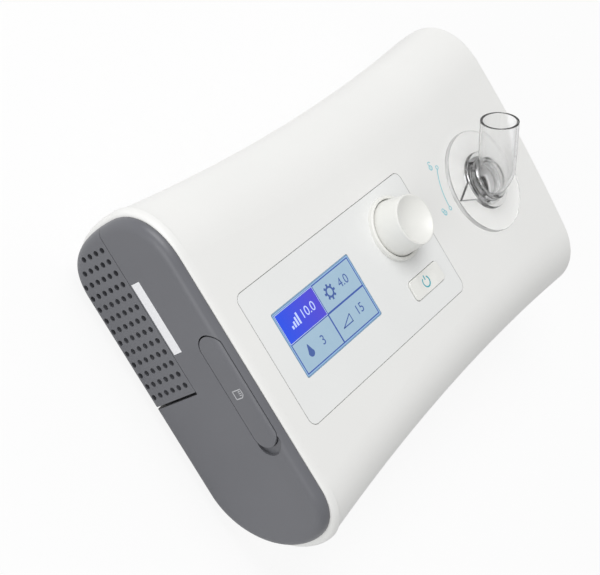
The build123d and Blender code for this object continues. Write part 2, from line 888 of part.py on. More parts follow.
def encoder_cavity_z():
    return board_top + 0.8


def encoder_body():
    x, y = knob_x, knob_y
    half = encoder_side / 2
    body = block(x - half, x + half, y - half, y + half, board_top, board_top + encoder_height)
    body += post(x, y, shaft_r + 1.0, board_top, ceiling_z - 0.6)
    return body - post(x, y, shaft_r + shaft_gap, encoder_cavity_z(), far)


def plunger_z():
    return encoder_cavity_z() + knob_travel + 0.2


def encoder_plunger():
    return post(knob_x, knob_y, shaft_r - 0.1, plunger_z(), plunger_z() + 1.2)


def encoder_shaft():
    return post(knob_x, knob_y, shaft_r, plunger_z() + 1.2, encoder_shaft_top())


def power_button():
    x, y = button_x, button_y
    z1 = top_z + button_proud
    key = tile(x, y, button_width, button_depth, button_corner, ceiling_z - 0.9, z1)
    key = fillet(key.faces().sort_by(Axis.Z)[-1].edges(), 0.5)
    ball = Pos(x, y, z1 + button_dish_r - button_dish) * Sphere(button_dish_r)
    key -= ball
    key += tile(x, y, button_width + 2 * button_flange, button_depth + 2 * button_flange,
                button_corner + button_flange, ceiling_z - 1.1, ceiling_z - 0.3)
    key += post(x, y, 2.2, switch_top_z(), ceiling_z - 1)
    return key


def switch_top_z():
    return board_top + 4.6


def power_switch():
    x, y = button_x, button_y
    half = switch_side / 2
    body = block(x - half, x + half, y - half, y + half, board_top, board_top + switch_height)
    return body - post(x, y, switch_plunger_r + 0.1, switch_top_z() - 2.4 - button_travel, far)


def switch_plunger():
    return post(button_x, button_y, switch_plunger_r, switch_top_z() - 2.2, switch_top_z())


# ---- boards ----
def main_board():
    board = block(board_left, board_right, board_front, board_rear, board_z, board_top)
    for x, y in board_spots:
        board -= post(x, y, board_screw_r + 0.1, 0, far)
    return board


def board_screws():
    screws = []
    for x, y in board_spots:
        screw = post(x, y, board_screw_head_r, board_z - board_screw_head, board_z)
        screw += post(x, y, board_screw_r - 0.05, board_z, board_top + board_screw_grip)
        screw -= cross_recess(x, y, board_z - board_screw_head, 0.8)
        screws.append(screw.solid())
    return Compound(children=screws)


def board_parts():
    """Controller, drivers, coil and sockets, all on the board's lower side."""
    def chip(x, y, width, depth, height):
        shape = block(x - width / 2, x + width / 2, y - depth / 2, y + depth / 2, board_z - height, board_z)
        return shape.solid()

    parts = [chip(board_left + x, board_front + y, *size) for x, y, *size in chips.values()]
    parts += [chip(bulkhead_x + x, board_front + y, *size) for x, y, *size in power_parts.values()]
    for place in can_places:
        can = post(board_left + place, board_front + can_in, can_r, board_z - can_height, board_z)
        parts.append(can.solid())
    return Compound(children=parts)


# ---- air outlet ----
def port_inner_r():
    return spigot_r + lug_reach + port_gap


def port_floor_top():
    return top_z + disc_gap - spigot_depth - 0.5


def lug_top_z():
    return top_z + disc_gap - lug_depth


def outlet_port():
    inner = port_inner_r()
    outer = inner + port_wall
    floor_top = port_floor_top()
    low = floor_top - port_floor
    port = post(outlet_x, outlet_y, outer, low, ceiling_z) - post(outlet_x, outlet_y, inner, floor_top, far)
    neck_outer = spigot_bore_r + port_wall + 0.3
    bottom = chamber_lid_top() + outlet_clear
    port += post(outlet_x, outlet_y, neck_outer, bottom, low + 0.5)
    port -= post(outlet_x, outlet_y, spigot_bore_r + 1.3, 0, far)
    # ledges that the elbow's lugs turn under; the gaps between them let the lugs out
    ledge_z = lug_top_z() + ledge_gap
    half = lug_angle / 2 + lug_play
    step = 360 / lug_count
    for i in range(lug_count):
        base = 60 + i * step
        port += sector(outlet_x, outlet_y, spigot_r + port_gap, inner + 0.5, base - lock_turn + half,
                       base + step - lock_turn - half, ledge_z, ledge_z + ledge_height)
    return port


def elbow_seal():
    low = port_floor_top()
    seal = post(outlet_x, outlet_y, port_inner_r() - 0.2, low, low + seal_height)
    return seal - post(outlet_x, outlet_y, spigot_r + disc_gap, low - 1, low + seal_height + 1)


def tube_path():
    """From below the top, up the neck and out to the tube's end."""
    corner = Vector(outlet_x, outlet_y, top_z + tube_rise)
    run = Vector(0, cos(radians(tube_tilt)), sin(radians(tube_tilt))) * tube_length
    start = Vector(outlet_x, outlet_y, top_z + disc_gap)
    return FilletPolyline(start, corner, corner + run, radius=bend_r)


def outlet_elbow():
    z0 = top_z + disc_gap
    z1 = z0 + disc_thickness
    path = tube_path()
    start = Plane(origin=(outlet_x, outlet_y, z0), z_dir=(0, 0, 1))
    tube = sweep(start * Circle(tube_r - tube_relief), path=path)
    mouth = Vector(path @ 1)
    outward = Vector(path % 1)
    cuff = Plane(origin=mouth - outward * tube_fit_length, z_dir=outward)
    tube += cuff * extrude(Circle(tube_r), tube_fit_length)
    disc = post(outlet_x, outlet_y, disc_r, z0, z1)
    disc = fillet(disc.edges().filter_by(GeomType.CIRCLE).sort_by(Axis.Z)[-1], 0.8)
    collar = post(outlet_x, outlet_y, elbow_collar_r, z0, z1 + elbow_collar_height)
    collar = fillet(collar.edges().filter_by(GeomType.CIRCLE).sort_by(Axis.Z)[-1], 0.8)
    neck = post(outlet_x, outlet_y, neck_r, z0, z1 + neck_height)
    neck = fillet(neck.edges().filter_by(GeomType.CIRCLE).sort_by(Axis.Z)[-1], neck_round)
    spigot = post(outlet_x, outlet_y, spigot_r, z0 - spigot_depth, z0 + 0.5)
    elbow = disc + collar + neck + spigot + tube
    # pointer that shows locked or unlocked, towards -X at rest
    tip = outlet_x - disc_r + 1.0
    root = outlet_x - elbow_collar_r + 1.0
    half_base = pointer_base / 2
    pointer = Polygon((tip, outlet_y), (root, outlet_y - half_base), (root, outlet_y + half_base), align=None)
    elbow += Pos(0, 0, z1 - 0.2) * extrude(pointer, pointer_height + 0.2)
    for i in range(lug_count):
        base = 60 + i * 360 / lug_count
        lug_z = lug_top_z() - lug_height
        elbow += sector(outlet_x, outlet_y, spigot_r - 0.5, spigot_r + lug_reach, base - lug_angle / 2,
                        base + lug_angle / 2, lug_z, lug_z + lug_height)
    # the air's way through
    elbow -= post(outlet_x, outlet_y, spigot_bore_r, z0 - spigot_depth - 1, z1)
    elbow -= sweep(start * Circle(tube_bore_r), path=path)
    end = Plane(origin=mouth - outward, z_dir=outward)
    return elbow - end * extrude(Circle(tube_bore_r), 3)


# ---- water chamber ----
def chamber_mid():
    return (chamber_left + chamber_right) / 2, (chamber_front_y + chamber_rear_y) / 2


def chamber_top():
    return chamber_z + chamber_height


def chamber_lid_top():
    return chamber_top() + seal_bead + lid_thickness + 0.8


def chamber_tile(inset, z0, z1):
    x, y = chamber_mid()
    width = chamber_length - 2 * inset
    depth = chamber_rear_y - chamber_front_y - 2 * inset
    return tile(x, y, width, depth, max(chamber_corner - inset, 0.5), z0, z1)


def chamber_floor_top():
    return chamber_z + chamber_step + chamber_wall


def chamber_tub():
    x, y = chamber_mid()
    tub = chamber_tile(0, chamber_z, chamber_top())
    tub -= chamber_tile(chamber_wall, chamber_floor_top(), far)
    tub -= chamber_tile(runner_width, 0, chamber_z + chamber_step)
    tub -= post(x, y, heater_r, 0, far)
    tub -= rod_x(nozzle_y, nozzle_z, nozzle_bore_r, chamber_left - 1, chamber_left + chamber_wall + 1)
    return tub


def chamber_pan():
    """Metal base that carries the heat into the water."""
    x, y = chamber_mid()
    low = chamber_z
    pan = post(x, y, pan_r, low, low + pan_thickness)
    return pan + post(x, y, heater_r - 0.3, low, low + pan_thickness + 1.5)


def chamber_seal():
    z0 = chamber_top()
    return chamber_tile(0.4, z0, z0 + seal_bead) - chamber_tile(chamber_wall, z0 - 1, z0 + seal_bead + 1)


def chamber_lid():
    z0 = chamber_top() + seal_bead
    lid = chamber_tile(0, z0, z0 + lid_thickness)
    plug = chamber_tile(chamber_wall + lid_plug_gap, z0 - lid_plug, z0 + 0.5)
    plug -= chamber_tile(chamber_wall + lid_plug_gap + 1.6, z0 - lid_plug - 1, z0)
    lid += plug
    lid += post(outlet_x, outlet_y, boss_hole_r + boss_wall, z0, chamber_lid_top())
    return lid - post(outlet_x, outlet_y, boss_hole_r, z0 - 1, far)


def grip_box(extra, x0, x1):
    y = chamber_mid()[1]
    half_y = grip_width / 2 + extra
    half_z = grip_height / 2 + extra
    return plate_x(y - half_y, y + half_y, grip_z - half_z, grip_z + half_z, 4.0 + extra, x0, x1)


def chamber_front():
    """End panel of the case, which pulls the chamber out."""
    x1 = right_end - front_recess
    inner_drum = end_form(front_recess + front_thickness)
    x0 = end_face_x(-end_depth / 2) - front_recess - front_thickness
    panel = Part() + case_form(wall + front_gap, x0, right_end + 1) - inner_drum
    panel += grip_box(grip_wall, chamber_right, x1)
    # two arms tie the panel to the chamber beside the grip
    front_arm = chamber_front_y + chamber_corner + arm_in
    rear_arm = chamber_rear_y - chamber_corner - arm_in - arm_thickness
    for y in (front_arm, rear_arm):
        panel += block(chamber_right, x1, y, y + arm_thickness, chamber_z, chamber_top())
    panel &= end_form(front_recess)
    return panel - grip_box(0, x1 - grip_depth, right_end + 1)


def heater_plate():
    x, y = chamber_mid()
    z0 = floor_z + insulator_thickness
    plate = post(x, y, heater_r, z0, z0 + heater_thickness)
    return chamfer(plate.edges().filter_by(GeomType.CIRCLE).sort_by(Axis.Z)[-1], 0.6)


def heater_insulator():
    x, y = chamber_mid()
    ring = post(x, y, heater_r, floor_z, floor_z + insulator_thickness)
    return ring - post(x, y, heater_r - 8, floor_z - 1, floor_z + insulator_thickness + 1)


# ---- blower ----
def volute_top():
    return volute_z + volute_height


def volute_form():
    body = post(blower_x, blower_y, volute_r, volute_z, volute_top())
    body += rod_x(nozzle_y, nozzle_z, nozzle_r, blower_x, nozzle_end_x)
    room = post(blower_x, blower_y, volute_r - volute_wall,
                volute_z + volute_wall, volute_top() - volute_wall)
    room += rod_x(nozzle_y, nozzle_z, nozzle_bore_r, blower_x, nozzle_end_x + 1)
    return body - room - post(blower_x, blower_y, eye_r, volute_top() - volute_wall - 1, far)


def volute_lower():
    return volute_form() & block(-far, far, -far, far, 0, nozzle_z)


def volute_upper():
    return volute_form() & block(-far, far, -far, far, nozzle_z, far)


def motor_floor():
    return volute_z + volute_wall


def blower_motor():
    can = post(blower_x, blower_y, motor_r, motor_floor(), motor_floor() + motor_height)
    can = fillet(can.edges().filter_by(GeomType.CIRCLE).sort_by(Axis.Z)[-1], 1.5)
    for z in bearing_levels():
        can -= post(blower_x, blower_y, bearing_r, z, z + bearing_height)
    return can - post(blower_x, blower_y, motor_shaft_r + 1.0, motor_floor() + 1.0, far)


def bearing_levels():
    return (motor_floor() + 1.5, motor_floor() + motor_height - bearing_height)


def motor_bearings():
    rings = []
    for z in bearing_levels():
        ring = post(blower_x, blower_y, bearing_r, z, z + bearing_height)
        ring -= post(blower_x, blower_y, motor_shaft_r + shaft_gap, z - 1, z + bearing_height + 1)
        rings.append(ring.solid())
    return Compound(children=rings)


def impeller_z():
    return motor_floor() + motor_height + running_gap


def motor_shaft():
    return post(blower_x, blower_y, motor_shaft_r, motor_floor() + 1.3, impeller_z() + impeller_height)


def impeller():
    z0 = impeller_z()
    z1 = z0 + impeller_height
    wheel = post(blower_x, blower_y, impeller_r, z0, z0 + impeller_plate)
    wheel += post(blower_x, blower_y, impeller_hub_r, z0, z1)
    blade_arc = 22.0
    ring = post(0, 0, blade_arc, z0 + impeller_plate - 0.2, z1)
    ring -= post(0, 0, blade_arc - blade_thickness, z0, z1 + 1)
    for i in range(impeller_blades):
        root = Pos(impeller_hub_r, -blade_arc + blade_thickness, 0)
        turned = Rot(0, 0, 360 * i / impeller_blades) * root * ring
        inside = post(0, 0, impeller_r - 0.4, z0, z1) - post(0, 0, impeller_hub_r - 0.5, z0, z1)
        half_plane = Rot(0, 0, 360 * i / impeller_blades) * block(0, far, -blade_arc + 1, far, z0, z1)
        blade = turned & inside & half_plane
        wheel += Pos(blower_x, blower_y, 0) * blade
    return wheel - post(blower_x, blower_y, motor_shaft_r, z0 - 1, z1 + 1)


def mount_spots():
    angles = [45 + 360 * i / mount_count for i in range(mount_count)]
    return [(blower_x + mount_ring_r * cos(radians(a)), blower_y + mount_ring_r * sin(radians(a)))
            for a in angles]


def blower_mounts():
    mounts = []
    for x, y in mount_spots():
        z0 = floor_z + mount_post
        grommet = post(x, y, mount_r, z0, volute_z)
        middle = (z0 + volute_z) / 2
        waist = post(x, y, mount_r + 1, middle - 1, middle + 1)
        waist -= post(x, y, mount_r - 1, middle - 2, middle + 2)
        mounts.append((grommet - waist).solid())
    return Compound(children=mounts)


def duct_outer_r():
    return nozzle_r + duct_fit + duct_wall


def outlet_duct():
    start = nozzle_end_x - duct_sleeve
    end = chamber_left - outlet_clear - gasket_thickness
    duct = rod_x(nozzle_y, nozzle_z, duct_outer_r(), start, end)
    duct -= rod_x(nozzle_y, nozzle_z, nozzle_r + duct_fit, start - 1, nozzle_end_x + 0.2)
    return duct - rod_x(nozzle_y, nozzle_z, nozzle_bore_r, start, end + 1)


def duct_gasket():
    end = chamber_left - outlet_clear
    ring = rod_x(nozzle_y, nozzle_z, gasket_r, end - gasket_thickness, end)
    return ring - rod_x(nozzle_y, nozzle_z, nozzle_bore_r, end - gasket_thickness - 1, end + 1)


# ---- intake ----
def silencer_top():
    return volute_top()


def silencer_box():
    x0, x1 = silencer_left, silencer_right
    box = block(x0, x1, silencer_front, silencer_rear, floor_z, silencer_top())
    w = silencer_wall
    box -= block(x0 + w, x1 - w, silencer_front + w, silencer_rear - w, floor_z + w, silencer_top() - w)
    vent_y, vent_z = filter_centre()
    vent_front = max(vent_y - vent_width / 2, silencer_front + 3)
    vent_rear = min(vent_y + vent_width / 2, silencer_rear - 3)
    box -= plate_x(vent_front, vent_rear, vent_z - vent_height / 2, vent_z + vent_height / 2, 2.0,
                   x0 - 1, x0 + w + 1)
    return box - post(intake_hole_x, intake_y, eye_r, silencer_top() - w - 1, far)


def silencer_foam():
    x0 = silencer_left + silencer_wall
    foam = block(x0, x0 + foam_length, silencer_front + silencer_wall, silencer_rear - silencer_wall,
                 floor_z + silencer_wall, silencer_top() - silencer_wall)
    middle_z = (floor_z + silencer_top()) / 2
    for z in (middle_z - foam_hole_pitch / 2, middle_z + foam_hole_pitch / 2):
        foam -= rod_x(filter_centre()[0] - 8, z, foam_hole_r, x0 - 1, x0 + foam_length + 1)
    return foam


def intake_duct():
    """Flat box duct from the silencer over to the blower's eye."""
    x0 = intake_hole_x - intake_overhang
    x1 = blower_x + intake_overhang
    y0 = blower_y - intake_width / 2 + 4
    y1 = y0 + intake_width
    z0 = volute_top()
    z1 = z0 + intake_height
    w = intake_wall
    duct = block(x0, x1, y0, y1, z0, z1) - block(x0 + w, x1 - w, y0 + w, y1 - w, z0 + w, z1 - w)
    duct -= post(intake_hole_x, intake_y, eye_r - 1, z0 - 1, z0 + w + 1)
    return duct - post(blower_x, blower_y, eye_r - 1, z0 - 1, z0 + w + 1)


# ---- power inlet ----
def dc_inlet():
    half = jack_body / 2
    y1 = jack_face_y - wall
    y0 = y1 - jack_length
    body = block(jack_x - half, jack_x + half, y0, y1, jack_z - half, jack_z + half)
    body += rod_y(jack_x, jack_z, jack_barrel_r, y1 - 0.5, jack_face_y)
    body -= rod_y(jack_x, jack_z, jack_bore_r, jack_face_y - jack_depth, jack_face_y + 1)
    return body + rod_y(jack_x, jack_z, jack_pin_r, jack_face_y - jack_depth - 1, jack_face_y - 0.8)


def jack_bracket():
    """Upright that carries the inlet on the base tray."""
    half = jack_body / 2
    y1 = jack_face_y - wall - 2
    y0 = y1 - jack_length + 6
    foot_y = rear_reach(jack_x) - rear_nose - 2
    stem = block(jack_x - half, jack_x + half, foot_y - 10, foot_y, floor_z, jack_z - half)
    arm = block(jack_x - half, jack_x + half, foot_y - 10, y1, jack_z - half - 2.4, jack_z - half)
    stem -= block(jack_x - half + 2, jack_x + half - 2, foot_y - 8, foot_y - 2, 0, jack_z - half - 2.4)
    return stem + arm


pieces = {
    "top_shell": top_shell,
    "base_tray": base_tray,
    "rubber_feet": rubber_feet,
    "case_screws": case_screws,
    "left_end_cap": left_end_cap,
    "filter_cover": filter_cover,
    "filter_frame": filter_frame,
    "air_filter": air_filter,
    "label_strip": label_strip,
    "sd_door": sd_door,
    "sd_door_pin": sd_door_pin,
    "sd_card": sd_card,
    "sd_socket": sd_socket,
    "display_panel": display_panel,
    "lcd_window": lcd_window,
    "lcd_module": lcd_module,
    "lcd_posts": lcd_posts,
    "knob": knob,
    "knob_collar": knob_collar,
    "encoder_body": encoder_body,
    "encoder_plunger": encoder_plunger,
    "encoder_shaft": encoder_shaft,
    "power_button": power_button,
    "power_switch": power_switch,
    "switch_plunger": switch_plunger,
    "main_board": main_board,
    "board_screws": board_screws,
    "board_parts": board_parts,
    "outlet_port": outlet_port,
    "elbow_seal": elbow_seal,
    "outlet_elbow": outlet_elbow,
    "chamber_tub": chamber_tub,
    "chamber_pan": chamber_pan,
    "chamber_seal": chamber_seal,
    "chamber_lid": chamber_lid,
    "chamber_front": chamber_front,
    "heater_plate": heater_plate,
    "heater_insulator": heater_insulator,
    "volute_lower": volute_lower,
    "volute_upper": volute_upper,
    "blower_motor": blower_motor,
    "motor_bearings": motor_bearings,
    "motor_shaft": motor_shaft,
    "impeller": impeller,
    "blower_mounts": blower_mounts,
    "outlet_duct": outlet_duct,
    "duct_gasket": duct_gasket,
    "silencer_box": silencer_box,
    "silencer_foam": silencer_foam,
    "intake_duct": intake_duct,
    "dc_inlet": dc_inlet,
    "jack_bracket": jack_bracket,
}

os.makedirs("parts", exist_ok=True)
for name, make in pieces.items():
    save(name, make())
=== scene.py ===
import bpy
import math
from mathutils import Matrix, Vector


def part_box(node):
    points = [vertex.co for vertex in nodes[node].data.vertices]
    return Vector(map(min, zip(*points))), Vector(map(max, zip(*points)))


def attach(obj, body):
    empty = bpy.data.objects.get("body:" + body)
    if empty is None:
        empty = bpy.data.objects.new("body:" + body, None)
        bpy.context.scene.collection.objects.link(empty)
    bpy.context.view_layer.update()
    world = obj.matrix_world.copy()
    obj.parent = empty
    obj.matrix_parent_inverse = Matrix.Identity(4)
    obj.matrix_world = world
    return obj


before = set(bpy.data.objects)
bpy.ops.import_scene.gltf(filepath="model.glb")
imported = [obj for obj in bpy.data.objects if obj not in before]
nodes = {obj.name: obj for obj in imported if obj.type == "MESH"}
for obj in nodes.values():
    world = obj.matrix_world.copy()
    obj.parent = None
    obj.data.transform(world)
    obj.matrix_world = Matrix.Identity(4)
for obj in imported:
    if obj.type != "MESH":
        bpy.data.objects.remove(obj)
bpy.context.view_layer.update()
mm = 0.001
print("frame loaded:", len(nodes), "nodes")


def deselectAll():
    if bpy.context.object and bpy.context.object.mode != "OBJECT":
        bpy.ops.object.mode_set(mode="OBJECT")
    bpy.ops.object.select_all(action="DESELECT")


def linearColour(hexCode):
    parts = [int(hexCode[i:i + 2], 16) / 255 for i in (1, 3, 5)]
    return [c / 12.92 if c <= 0.04045 else ((c + 0.055) / 1.055) ** 2.4 for c in parts] + [1.0]


def addNode(material, kind, settings=None, links=None):
    # settings go to sockets, by name or number, or else to the node's own properties
    node = material.node_tree.nodes.new(kind)
    for name, value in (settings or {}).items():
        if isinstance(name, int) or name in node.inputs:
            node.inputs[name].default_value = value
        else:
            setattr(node, name, value)
    for name, source in (links or {}).items():
        material.node_tree.links.new(source, node.inputs[name])
    return node


def emptyMaterial(name):
    material = bpy.data.materials.new(name)
    material.use_nodes = True
    material.node_tree.nodes.clear()
    return material


def placeInMesh(piece):
    # the object ends at the origin with its place in its mesh
    deselectAll()
    piece.select_set(True)
    bpy.context.view_layer.objects.active = piece
    bpy.ops.object.transform_apply(location=True, rotation=True, scale=True)


def joinPieces(name, pieces):
    deselectAll()
    for piece in pieces:
        piece.select_set(True)
    bpy.context.view_layer.objects.active = pieces[0]
    if len(pieces) > 1:
        bpy.ops.object.join()
    whole = bpy.context.object
    whole.name = name
    whole.data.name = name
    return whole


def dress(piece, material, body):
    piece.data.materials.clear()
    piece.data.materials.append(material)
    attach(piece, body)


def boxOf(nodeName):
    # a node's lowest and highest corners, in millimetres
    low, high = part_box(nodeName)
    return [v / mm for v in low], [v / mm for v in high]


def middleOf(nodeName):
    low, high = boxOf(nodeName)
    return [(a + b) / 2 for a, b in zip(low, high)]


outletMid = middleOf("elbow_seal")
caseTop = boxOf("top_shell")[1][2]
colourA, colourB, mixedColour = 6, 7, 2  # a Mix node's colour sockets

moulding = {
    "driftDetail": 2.0, "grainDetail": 3.0, "grainBreakup": 0.6, "grainHeight": 0.05,
    "polishSpread": 0.04, "bevelSamples": 4, "ior": 1.53}


def mouldedPlastic(name, look):
    # injection-moulded plastic: an eroded grain, a slight drift of tone, softened edges;
    # the real grain is near 0.1 mm, and is drawn coarser so that it shows
    material = emptyMaterial(name)
    place = addNode(material, "ShaderNodeTexCoord").outputs["Object"]
    drift = addNode(
        material, "ShaderNodeTexNoise",
        {"Scale": 1 / (look["driftSize"] * mm), "Detail": moulding["driftDetail"]},
        {"Vector": place})
    tone = addNode(
        material, "ShaderNodeMix",
        {"data_type": "RGBA", colourA: linearColour(look["colour"]),
         colourB: linearColour(look["colourDeep"])},
        {"Factor": drift.outputs["Fac"]})
    grain = addNode(
        material, "ShaderNodeTexNoise",
        {"Scale": 1 / (look["grainSize"] * mm), "Detail": moulding["grainDetail"],
         "Roughness": moulding["grainBreakup"]},
        {"Vector": place})
    polish = addNode(
        material, "ShaderNodeMapRange",
        {"To Min": look["roughness"] - moulding["polishSpread"],
         "To Max": look["roughness"] + moulding["polishSpread"]},
        {"Value": grain.outputs["Fac"]})
    soft = addNode(
        material, "ShaderNodeBevel",
        {"samples": moulding["bevelSamples"], "Radius": look["edgeRadius"] * mm})
    bump = addNode(
        material, "ShaderNodeBump",
        {"Strength": look["grainDepth"], "Distance": moulding["grainHeight"] * mm},
        {"Height": grain.outputs["Fac"], "Normal": soft.outputs["Normal"]})
    shader = addNode(
        material, "ShaderNodeBsdfPrincipled",
        {"IOR": look.get("ior", moulding["ior"])},
        {"Base Color": tone.outputs[mixedColour], "Roughness": polish.outputs["Result"],
         "Normal": bump.outputs["Normal"]})
    addNode(material, "ShaderNodeOutputMaterial", {}, {"Surface": shader.outputs["BSDF"]})
    return material


# ABS housing, satin, nearly white with a breath of warmth
caseAbs = mouldedPlastic("satinWhiteAbs", {
    "colour": "#F1F1EF", "colourDeep": "#ECECEA", "driftSize": 60,
    "grainSize": 0.5, "grainDepth": 0.06, "roughness": 0.42, "edgeRadius": 0.35})
# ABS control panel, a shade greyer than the housing
panelAbs = mouldedPlastic("panelAbs", {
    "colour": "#EFF0EF", "colourDeep": "#EAEBEA", "driftSize": 40,
    "grainSize": 0.45, "grainDepth": 0.05, "roughness": 0.4, "edgeRadius": 0.25})
# ABS knob and key, smoother from handling, a little warmer
knobAbs = mouldedPlastic("knobAbs", {
    "colour": "#F0F0EC", "colourDeep": "#EAEAE6", "driftSize": 20,
    "grainSize": 0.4, "grainDepth": 0.03, "roughness": 0.34, "edgeRadius": 0.3})
# ABS end cap in a mid grey, spark-eroded, with a low sheen along its round edge
capAbs = mouldedPlastic("greyCapAbs", {
    "colour": "#6E6F74", "colourDeep": "#64656A", "driftSize": 45,
    "grainSize": 0.7, "grainDepth": 0.12, "roughness": 0.38, "edgeRadius": 0.3})
# glass-filled nylon used for sockets, frames and the outlet's duct: dull black
blackNylon = mouldedPlastic("blackNylon", {
    "colour": "#1B1B1D", "colourDeep": "#131315", "driftSize": 15,
    "grainSize": 0.4, "grainDepth": 0.1, "roughness": 0.5, "edgeRadius": 0.15})
# polypropylene of the blower and the intake: mid grey, slightly waxy
greyPolypropylene = mouldedPlastic("greyPolypropylene", {
    "colour": "#9A9C9E", "colourDeep": "#8F9193", "driftSize": 30,
    "grainSize": 0.6, "grainDepth": 0.08, "roughness": 0.48, "edgeRadius": 0.25})
# silicone of the outlet's seal: milky white
milkySilicone = mouldedPlastic("milkySilicone", {
    "colour": "#F2F2F2", "colourDeep": "#ECECEC", "driftSize": 25,
    "grainSize": 0.6, "grainDepth": 0.06, "roughness": 0.5, "edgeRadius": 0.25, "ior": 1.42})
# rubber of feet and seals: deep grey, matt
softRubber = mouldedPlastic("softRubber", {
    "colour": "#2A2B2D", "colourDeep": "#222325", "driftSize": 12,
    "grainSize": 0.5, "grainDepth": 0.15, "roughness": 0.75, "edgeRadius": 0.3, "ior": 1.45})
# polyester fleece and open foam: pale, rough, with a coarse pore pattern
filterFleece = mouldedPlastic("filterFleece", {
    "colour": "#C9CACB", "colourDeep": "#8E9092", "driftSize": 1.2,
    "grainSize": 0.8, "grainDepth": 0.9, "roughness": 0.95, "edgeRadius": 0.4, "ior": 1.4})
# epoxy circuit board with a green solder mask
boardEpoxy = mouldedPlastic("boardEpoxy", {
    "colour": "#1E5B33", "colourDeep": "#184B2A", "driftSize": 8,
    "grainSize": 0.8, "grainDepth": 0.1, "roughness": 0.35, "edgeRadius": 0.1})
# mineral board under the heater: buff and chalky
heatBoard = mouldedPlastic("heatBoard", {
    "colour": "#C9B88E", "colourDeep": "#BBAA80", "driftSize": 6,
    "grainSize": 0.5, "grainDepth": 0.3, "roughness": 0.85, "edgeRadius": 0.2})

printing = {"mottleDetail": 2.0, "ior": 1.5}


def inkFilm(name, look):
    # printed ink, paper or a lit display segment: one colour with a faint mottle
    material = emptyMaterial(name)
    place = addNode(material, "ShaderNodeTexCoord").outputs["Object"]
    mottle = addNode(
        material, "ShaderNodeTexNoise",
        {"Scale": 1 / (look["mottleSize"] * mm), "Detail": printing["mottleDetail"]},
        {"Vector": place})
    tone = addNode(
        material, "ShaderNodeMix",
        {"data_type": "RGBA", colourA: linearColour(look["colour"]),
         colourB: linearColour(look["colourDeep"])},
        {"Factor": mottle.outputs["Fac"]})
    shader = addNode(
        material, "ShaderNodeBsdfPrincipled",
        {"Roughness": look["roughness"], "IOR": printing["ior"],
         "Emission Strength": look.get("glow", 0.0)},
        {"Base Color": tone.outputs[mixedColour], "Emission Color": tone.outputs[mixedColour]})
    addNode(material, "ShaderNodeOutputMaterial", {}, {"Surface": shader.outputs["BSDF"]})
    return material


# paper label, matt white, left blank
labelPaper = inkFilm("labelPaper", {
    "colour": "#F4F4F6", "colourDeep": "#ECEDF0", "mottleSize": 1.5, "roughness": 0.6})
# printed teal ink, full on the key and pale on the case
tealInk = inkFilm("tealInk", {
    "colour": "#43AFBD", "colourDeep": "#3BA5B3", "mottleSize": 1.0, "roughness": 0.5})
paleTealInk = inkFilm("paleTealInk", {
    "colour": "#78CAD7", "colourDeep": "#6EC2CF", "mottleSize": 1.0, "roughness": 0.5})
# pale grey ink for the card pictogram
paleInk = inkFilm("paleInk", {
    "colour": "#C9CACD", "colourDeep": "#BEBFC2", "mottleSize": 1.0, "roughness": 0.5})
# backlit display: border, cells, lines, its outer edge, dark marks and lit marks
screenBorder = inkFilm("screenBorder", {
    "colour": "#96B8DC", "colourDeep": "#8DB0D6", "mottleSize": 6.0,
    "roughness": 0.35, "glow": 0.1})
screenCell = inkFilm("screenCell", {
    "colour": "#A4BFD2", "colourDeep": "#9DBACF", "mottleSize": 5.0,
    "roughness": 0.35, "glow": 0.1})
screenLine = inkFilm("screenLine", {
    "colour": "#3F5EAE", "colourDeep": "#3A55A4", "mottleSize": 3.0,
    "roughness": 0.35, "glow": 0.08})
screenEdge = inkFilm("screenEdge", {
    "colour": "#6F93AC", "colourDeep": "#688CA6", "mottleSize": 3.0, "roughness": 0.35})
screenMark = inkFilm("screenMark", {
    "colour": "#4A66A8", "colourDeep": "#4560A2", "mottleSize": 1.0,
    "roughness": 0.35, "glow": 0.05})
screenPale = inkFilm("screenPale", {
    "colour": "#C4D2FA", "colourDeep": "#B8C8F6", "mottleSize": 1.0,
    "roughness": 0.35, "glow": 0.2})


def chosenCell(name, look):
    # the lit cell runs from blue to violet across its width
    material = emptyMaterial(name)
    place = addNode(material, "ShaderNodeTexCoord").outputs["Object"]
    across = addNode(
        material, "ShaderNodeMapping",
        {"Location": (-look["from"] / look["width"], 0, 0), "Scale": (1 / look["width"], 1, 1)},
        {"Vector": place})
    run = addNode(material, "ShaderNodeTexGradient", {}, {"Vector": across.outputs["Vector"]})
    tone = addNode(
        material, "ShaderNodeMix",
        {"data_type": "RGBA", colourA: linearColour(look["colourLeft"]),
         colourB: linearColour(look["colourRight"])},
        {"Factor": run.outputs["Fac"]})
    shader = addNode(
        material, "ShaderNodeBsdfPrincipled",
        {"Roughness": look["roughness"], "Emission Strength": look["glow"]},
        {"Base Color": tone.outputs[mixedColour], "Emission Color": tone.outputs[mixedColour]})
    addNode(material, "ShaderNodeOutputMaterial", {}, {"Surface": shader.outputs["BSDF"]})
    return material


def awayFromOutlet(material, place):
    # how far a point lies from the outlet's upright axis
    flat = addNode(
        material, "ShaderNodeMapping",
        {"Location": (-outletMid[0] * mm, -outletMid[1] * mm, 0), "Scale": (1, 1, 0)},
        {"Vector": place})
    away = addNode(
        material, "ShaderNodeVectorMath", {"operation": "LENGTH"}, {0: flat.outputs[0]})
    return away.outputs["Value"]


